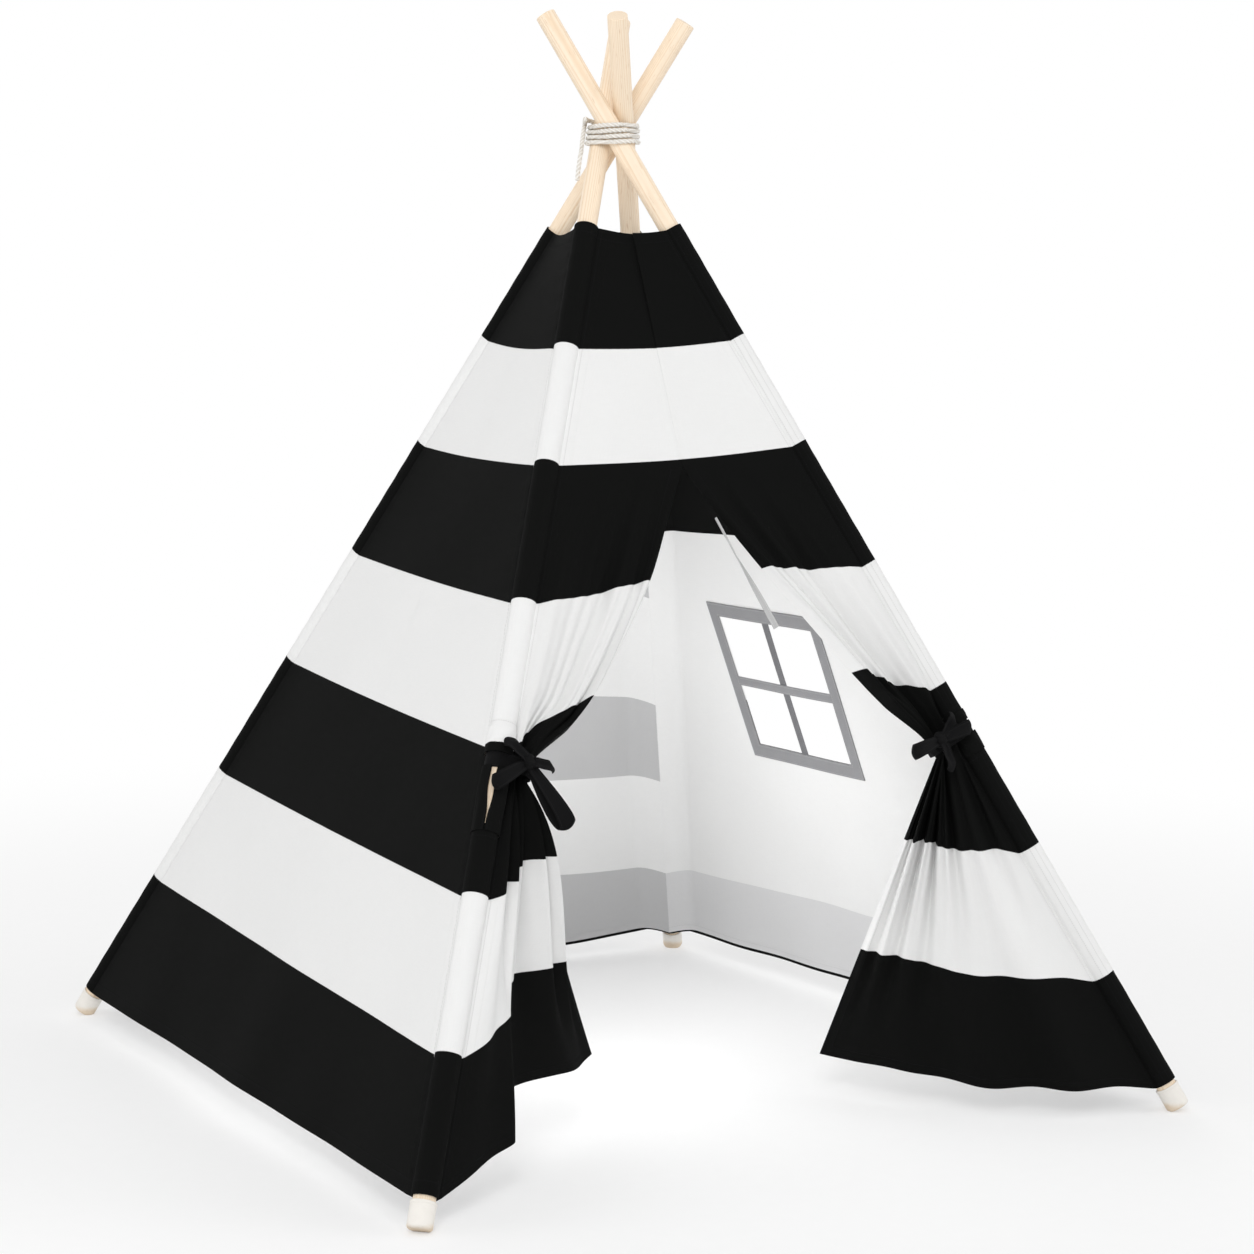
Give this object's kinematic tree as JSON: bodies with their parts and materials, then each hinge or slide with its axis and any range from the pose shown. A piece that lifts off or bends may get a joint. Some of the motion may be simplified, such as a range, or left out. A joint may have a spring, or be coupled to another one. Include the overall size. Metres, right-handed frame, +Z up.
{
  "type": "kids teepee play tent",
  "caption": "Child's teepee: lashed wooden poles in a broad-striped cloth cover, its door flaps tied back with bows and a barred window in one side.",
  "frame": {"origin": "middle of the footprint, on the floor", "axes": "+Z up, along the longest side; +X towards the side with the window, the shortest side; the door faces -Y"},
  "size_m": [1.2911, 1.3373, 1.602],
  "materials": {
    "wood": "smooth, unvarnished",
    "connector": "satin",
    "rubber": "matt",
    "rope": "matt twisted cotton",
    "ribbon": "matt woven",
    "trim": "matt woven",
    "canvas": "matt woven"
  },
  "bodies": {
    "cover": {"front_left_panel": "canvas", "front_right_panel": "canvas", "lashing_rope": "rope", "lashing_tail": "rope", "left_panel": "canvas", "rear_panel": "canvas", "right_panel": "canvas", "window_bar_level": "trim", "window_bar_upright": "trim", "window_tape_bottom": "trim", "window_tape_front": "trim", "window_tape_rear": "trim", "window_tape_top": "trim"},
    "front_left_pole": {"front_left_ferrule_1": "connector", "front_left_ferrule_2": "connector", "front_left_ferrule_3": "connector", "front_left_foot_cap": "rubber", "front_left_pole_1": "wood", "front_left_pole_2": "wood", "front_left_pole_3": "wood", "front_left_pole_4": "wood", "front_left_sleeve_lower": "canvas", "front_left_sleeve_upper": "canvas", "left_tie_band": "ribbon", "left_tie_bow": "ribbon"},
    "front_right_pole": {"front_right_ferrule_1": "connector", "front_right_ferrule_2": "connector", "front_right_ferrule_3": "connector", "front_right_foot_cap": "rubber", "front_right_pole_1": "wood", "front_right_pole_2": "wood", "front_right_pole_3": "wood", "front_right_pole_4": "wood", "front_right_sleeve_lower": "canvas", "front_right_sleeve_upper": "canvas", "right_tie_band": "ribbon", "right_tie_bow": "ribbon"},
    "rear_right_pole": {"rear_right_ferrule_1": "connector", "rear_right_ferrule_2": "connector", "rear_right_ferrule_3": "connector", "rear_right_foot_cap": "rubber", "rear_right_pole_1": "wood", "rear_right_pole_2": "wood", "rear_right_pole_3": "wood", "rear_right_pole_4": "wood", "rear_right_sleeve": "canvas"},
    "rear_left_pole": {"rear_left_ferrule_1": "connector", "rear_left_ferrule_2": "connector", "rear_left_ferrule_3": "connector", "rear_left_foot_cap": "rubber", "rear_left_pole_1": "wood", "rear_left_pole_2": "wood", "rear_left_pole_3": "wood", "rear_left_pole_4": "wood", "rear_left_sleeve": "canvas"},
    "left_flap": {"left_door_flap": "canvas"},
    "right_flap": {"right_door_flap": "canvas"}
  },
  "joints": [
    {"name": "front_left_fold", "type": "hinge", "parent": "cover", "child": "front_left_pole", "pos_m": [-0.0109, -0.02684, 1.435], "axis": [0.7111, -0.7031, 0], "range_deg": [0, 23], "deforming": ["left_panel", "front_left_panel", "left_door_flap"]},
    {"name": "front_right_fold", "type": "hinge", "parent": "cover", "child": "front_right_pole", "pos_m": [-0.02221, -0.06075, 1.435], "axis": [0.6724, 0.7402, 0], "range_deg": [0, 23], "deforming": ["right_panel", "front_right_panel", "right_door_flap"]},
    {"name": "rear_right_fold", "type": "hinge", "parent": "cover", "child": "rear_right_pole", "pos_m": [0.01205, -0.04791, 1.435], "axis": [-0.7831, 0.6219, 0], "range_deg": [0, 23], "deforming": ["rear_panel", "lashing_rope"]},
    {"name": "rear_left_fold", "type": "hinge", "parent": "cover", "child": "rear_left_pole", "pos_m": [0.03012, -0.01322, 1.435], "axis": [-0.7439, -0.6682, 0], "range_deg": [0, 23], "deforming": ["lashing_tail"]},
    {"name": "left_flap_swing", "type": "hinge", "parent": "front_left_pole", "child": "left_flap", "pos_m": [-0.37539, -0.41625, 0.54683], "axis": [0.369, 0.3732, 0.8512], "range_deg": [-5, 25]},
    {"name": "right_flap_swing", "type": "hinge", "parent": "front_right_pole", "child": "right_flap", "pos_m": [0.36281, -0.42937, 0.54635], "axis": [0.3886, -0.353, -0.8511], "range_deg": [-5, 25]}
  ],
  "couplings": [
    {"joint": "front_right_fold", "follows": "front_left_fold", "ratio": 1},
    {"joint": "rear_right_fold", "follows": "front_left_fold", "ratio": 1},
    {"joint": "rear_left_fold", "follows": "front_left_fold", "ratio": 1}
  ]
}
